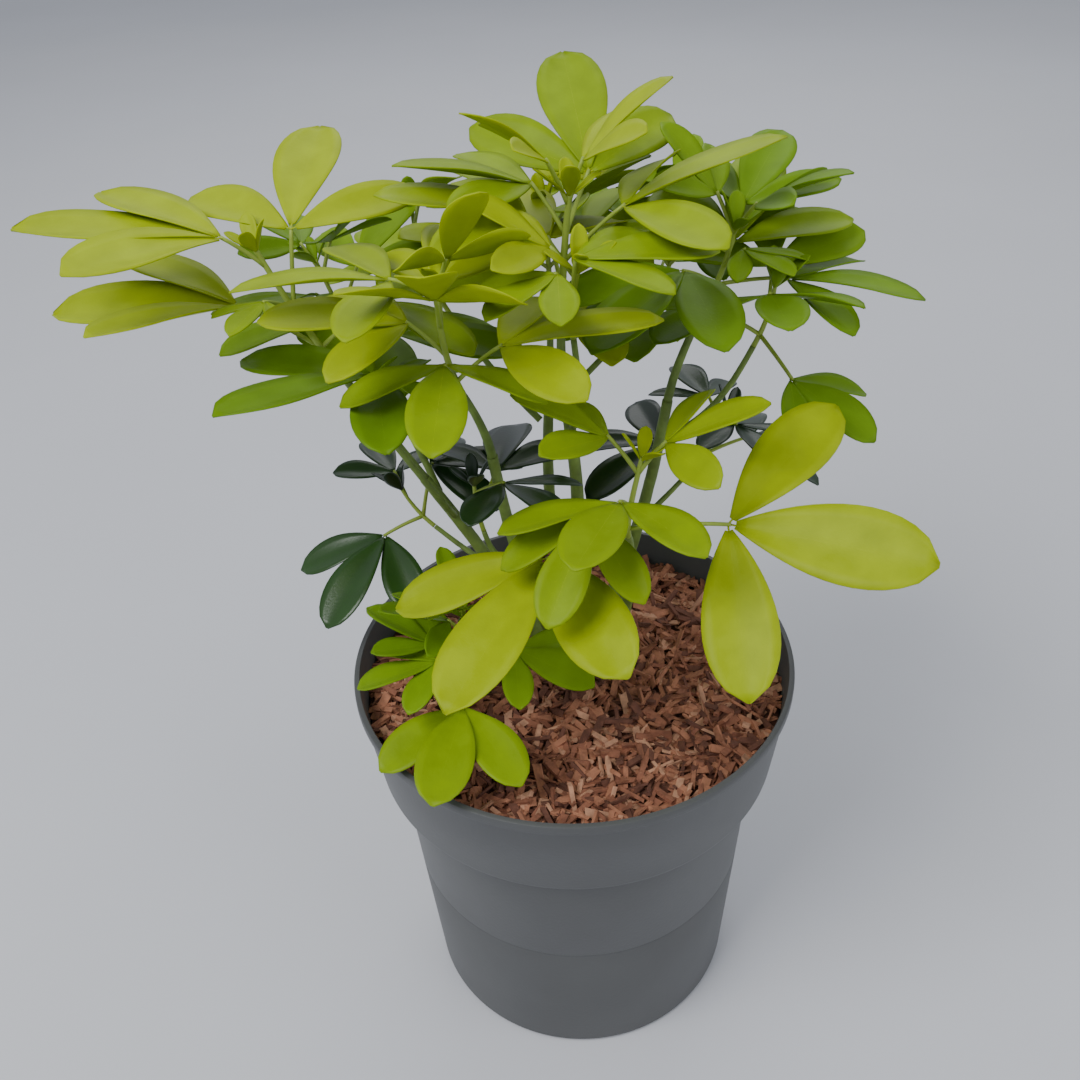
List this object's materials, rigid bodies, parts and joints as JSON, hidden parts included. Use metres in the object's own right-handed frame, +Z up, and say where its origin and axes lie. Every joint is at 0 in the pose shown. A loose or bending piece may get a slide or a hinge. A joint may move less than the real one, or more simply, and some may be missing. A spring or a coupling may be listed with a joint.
{
  "type": "potted mexican orange blossom",
  "caption": "Young golden-leaved evergreen shrub with palmate leaves on forking stems, standing in a round tapered nursery pot filled with bark-topped potting mix.",
  "frame": {"origin": "centre of the pot's flat underside", "axes": "+Z up; -Y is the side seen in the picture; +X is to the right from there"},
  "size_m": [0.3173, 0.2771, 0.4154],
  "materials": {
    "pot_grey": "satin",
    "potting_mix": "matte",
    "bark_chips": "matte",
    "green_wood": "matte",
    "leaf_gold": "satin",
    "leaf_lime": "satin",
    "leaf_dark": "gloss"
  },
  "bodies": {
    "root": {"pot": "pot_grey", "potting_mix": "potting_mix", "bark_mulch": "bark_chips", "stem_left": "green_wood", "stem_front": "green_wood", "stem_centre": "green_wood", "stem_right": "green_wood", "stem_front_right": "green_wood", "stem_back": "green_wood", "low_front_shoot": "green_wood", "bough_far_left": "green_wood", "bough_left_front": "green_wood", "bough_left_back": "green_wood", "bough_low_left": "green_wood", "bough_front_left": "green_wood", "bough_inner_left": "green_wood", "bough_top": "green_wood", "bough_centre_front": "green_wood", "bough_right": "green_wood", "bough_right_outer": "green_wood", "bough_front_right": "green_wood", "bough_low_right": "green_wood", "bough_back_left": "green_wood", "bough_back_right": "green_wood", "bough_back_top": "green_wood", "far_left_foliage": "leaf_gold", "left_front_foliage": "leaf_lime", "left_back_foliage": "leaf_lime", "low_left_foliage": "leaf_dark", "front_left_foliage": "leaf_gold", "inner_left_foliage": "leaf_dark", "top_foliage": "leaf_gold", "centre_front_foliage": "leaf_gold", "right_foliage": "leaf_lime", "right_outer_foliage": "leaf_lime", "front_right_foliage": "leaf_gold", "low_right_foliage": "leaf_dark", "back_left_foliage": "leaf_lime", "back_right_foliage": "leaf_lime", "back_top_foliage": "leaf_gold", "low_front_foliage": "leaf_lime"}
  },
  "joints": []
}
